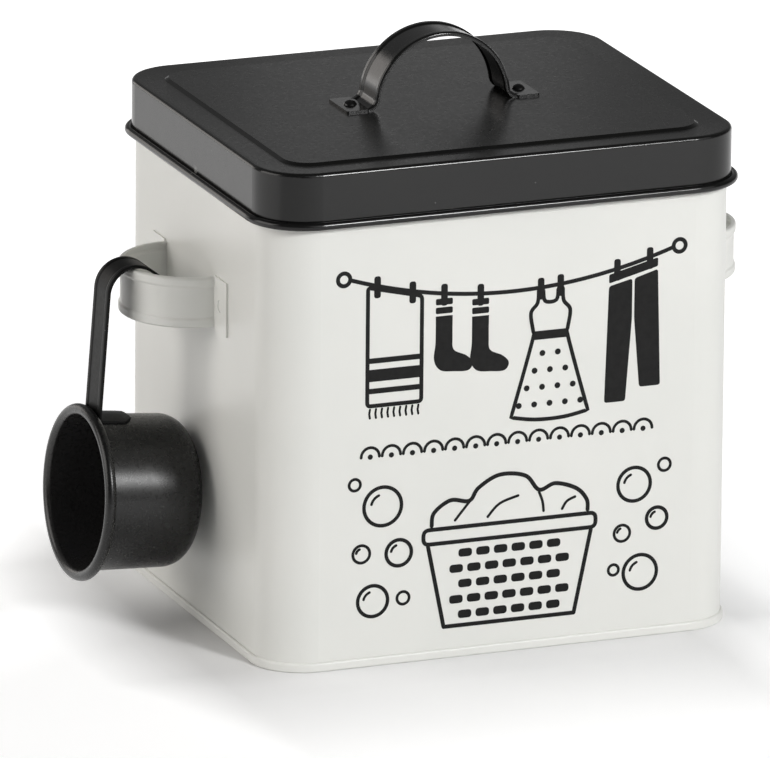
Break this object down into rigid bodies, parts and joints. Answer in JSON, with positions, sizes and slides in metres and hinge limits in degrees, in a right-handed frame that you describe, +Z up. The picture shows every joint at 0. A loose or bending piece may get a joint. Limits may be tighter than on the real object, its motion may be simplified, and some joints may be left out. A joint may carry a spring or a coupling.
{
  "type": "detergent storage box",
  "caption": "Painted tin box for washing powder, with a slip-over lid that lifts off by its strap handle, strap handles on both sides and a round scoop hooked on one of them.",
  "frame": {"origin": "middle of the box's base, on the floor that it stands on", "axes": "+Z up, the front faces -Y, the scoop hangs on the -X side"},
  "size_m": [0.282, 0.181, 0.2366],
  "materials": {
    "white_paint": "smooth satin powder coat",
    "black_paint": "satin powder coat"
  },
  "bodies": {
    "box": {"box_wall": "white_paint", "box_base": "white_paint", "left_side_handle": "white_paint", "right_side_handle": "white_paint"},
    "lid": {"lid_shell": "black_paint", "lid_handle": "black_paint", "lid_rivets": "black_paint"},
    "scoop": {"scoop_cup": "black_paint", "scoop_handle": "black_paint"}
  },
  "joints": [
    {"name": "lid_lift", "type": "slide", "parent": "box", "child": "lid", "axis": [0, 0, 1], "range_m": [0, 0.12]},
    {"name": "scoop_swing", "type": "hinge", "parent": "box", "child": "scoop", "pos_m": [-0.126, 0.0055, 0.1481], "axis": [-0.0209, 0.9998, 0], "range_deg": [-1.4, 25]}
  ]
}
